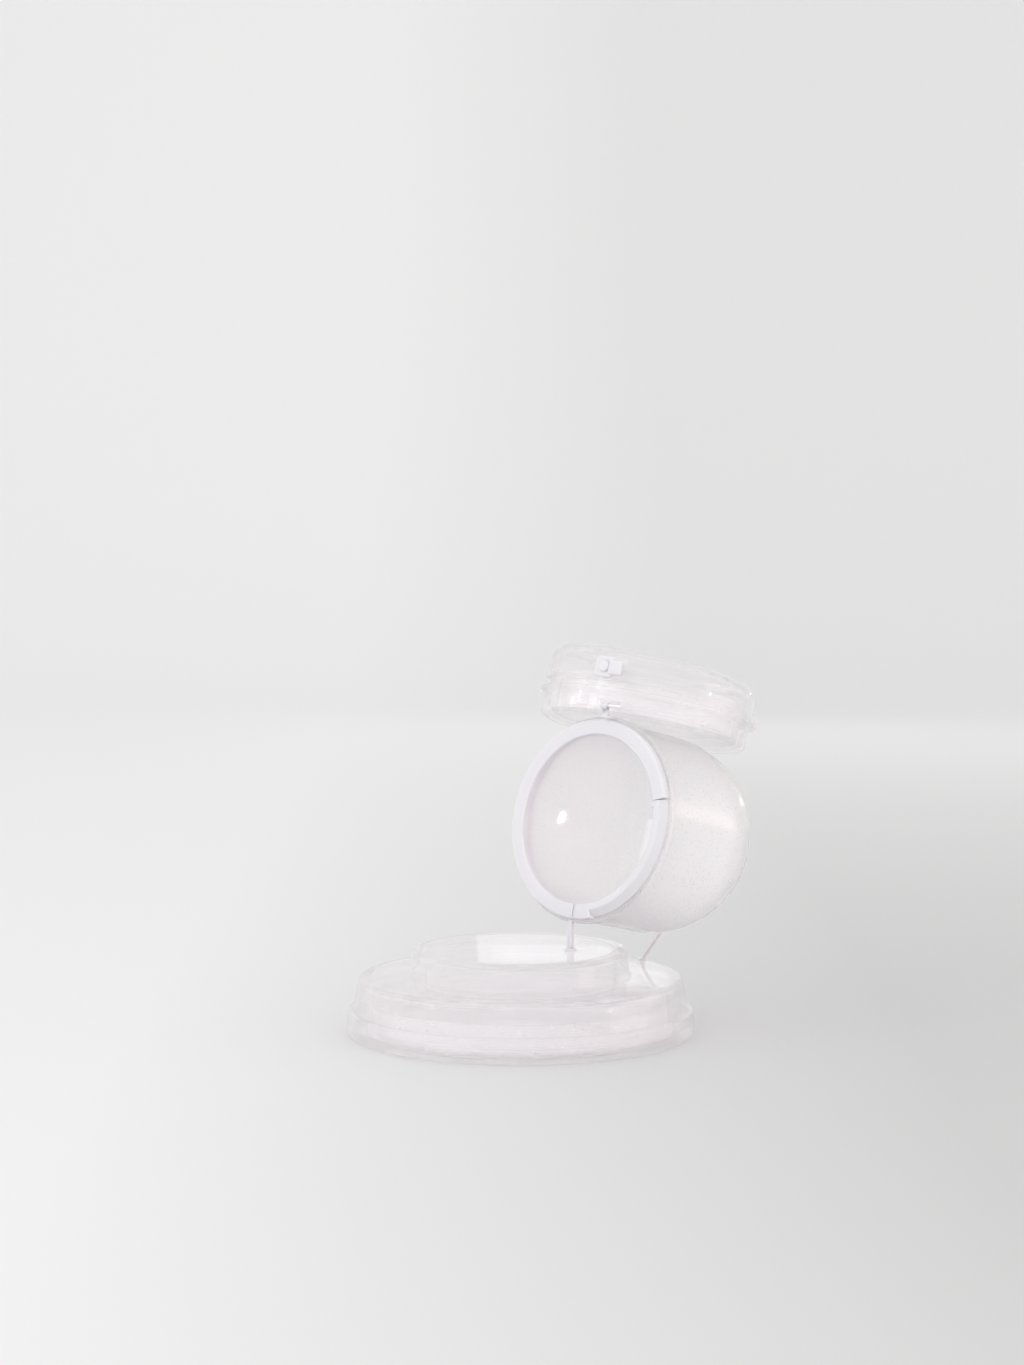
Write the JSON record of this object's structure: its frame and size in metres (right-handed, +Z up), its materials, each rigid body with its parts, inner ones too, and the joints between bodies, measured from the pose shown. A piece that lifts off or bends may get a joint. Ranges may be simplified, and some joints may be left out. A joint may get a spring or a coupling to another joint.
{
  "type": "coin capsule",
  "caption": "Clear stepped coin capsule with a frosted windowed cup on a post above it and a small hinged-lid capsule resting on the cup.",
  "frame": {"origin": "centre of the base capsule's underside, on the surface it stands on", "axes": "+Z up along the base capsule's axis, -Y towards the front, +X to the right seen from the front"},
  "size_m": [0.1059, 0.1014, 0.0978],
  "materials": {
    "clear_shell": "glossy clear moulded plastic",
    "clear_window": "polished clear plastic",
    "frosted_shell": "fine frosted translucent plastic",
    "white_plastic": "satin white moulded plastic",
    "grip_ring": "soft translucent white plastic",
    "pin_metal": "bright drawn steel",
    "prop_wire": "pale pinkish-grey lacquered wire"
  },
  "bodies": {
    "base": {"base_lower_shell": "clear_shell", "base_grip_ring": "grip_ring"},
    "cover": {"base_cover": "clear_shell", "front_post": "white_plastic", "post_foot": "white_plastic", "prop_rod": "prop_wire", "prop_socket": "clear_shell", "cup_shell": "frosted_shell", "hinge_strap": "white_plastic", "tip_hinge_pin": "pin_metal"},
    "window": {"bezel_ring": "white_plastic", "pull_tab": "white_plastic", "cup_window": "clear_window"},
    "small_capsule": {"small_lower_shell": "clear_shell", "small_grip_ring": "grip_ring", "tip_hinge_lug": "clear_shell", "lid_hinge_pin": "clear_shell"},
    "small_lid": {"small_lid": "clear_shell", "button_pin": "white_plastic"},
    "turn_button": {"turn_button": "white_plastic"}
  },
  "joints": [
    {"name": "cover_lift", "type": "slide", "parent": "base", "child": "cover", "axis": [0, 0, 1], "range_m": [0, 0.03]},
    {"name": "window_pull", "type": "slide", "parent": "cover", "child": "window", "axis": [-0.6688, -0.7047, 0.2368], "range_m": [0, 0.03]},
    {"name": "small_capsule_tip", "type": "hinge", "parent": "cover", "child": "small_capsule", "pos_m": [0.02295, -0.00003, 0.08308], "axis": [0.7254, -0.6884, 0], "range_deg": [0, 85]},
    {"name": "lid_swing", "type": "hinge", "parent": "small_capsule", "child": "small_lid", "pos_m": [0.06076, 0.02819, 0.07537], "axis": [-0.0049, 0.98, -0.1989], "range_deg": [-3, 100]},
    {"name": "button_turn", "type": "hinge", "parent": "small_lid", "child": "turn_button", "pos_m": [0.02178, 0.00642, 0.09248], "axis": [0.4457, 0.8488, -0.2845], "range_deg": [0, 90]}
  ]
}
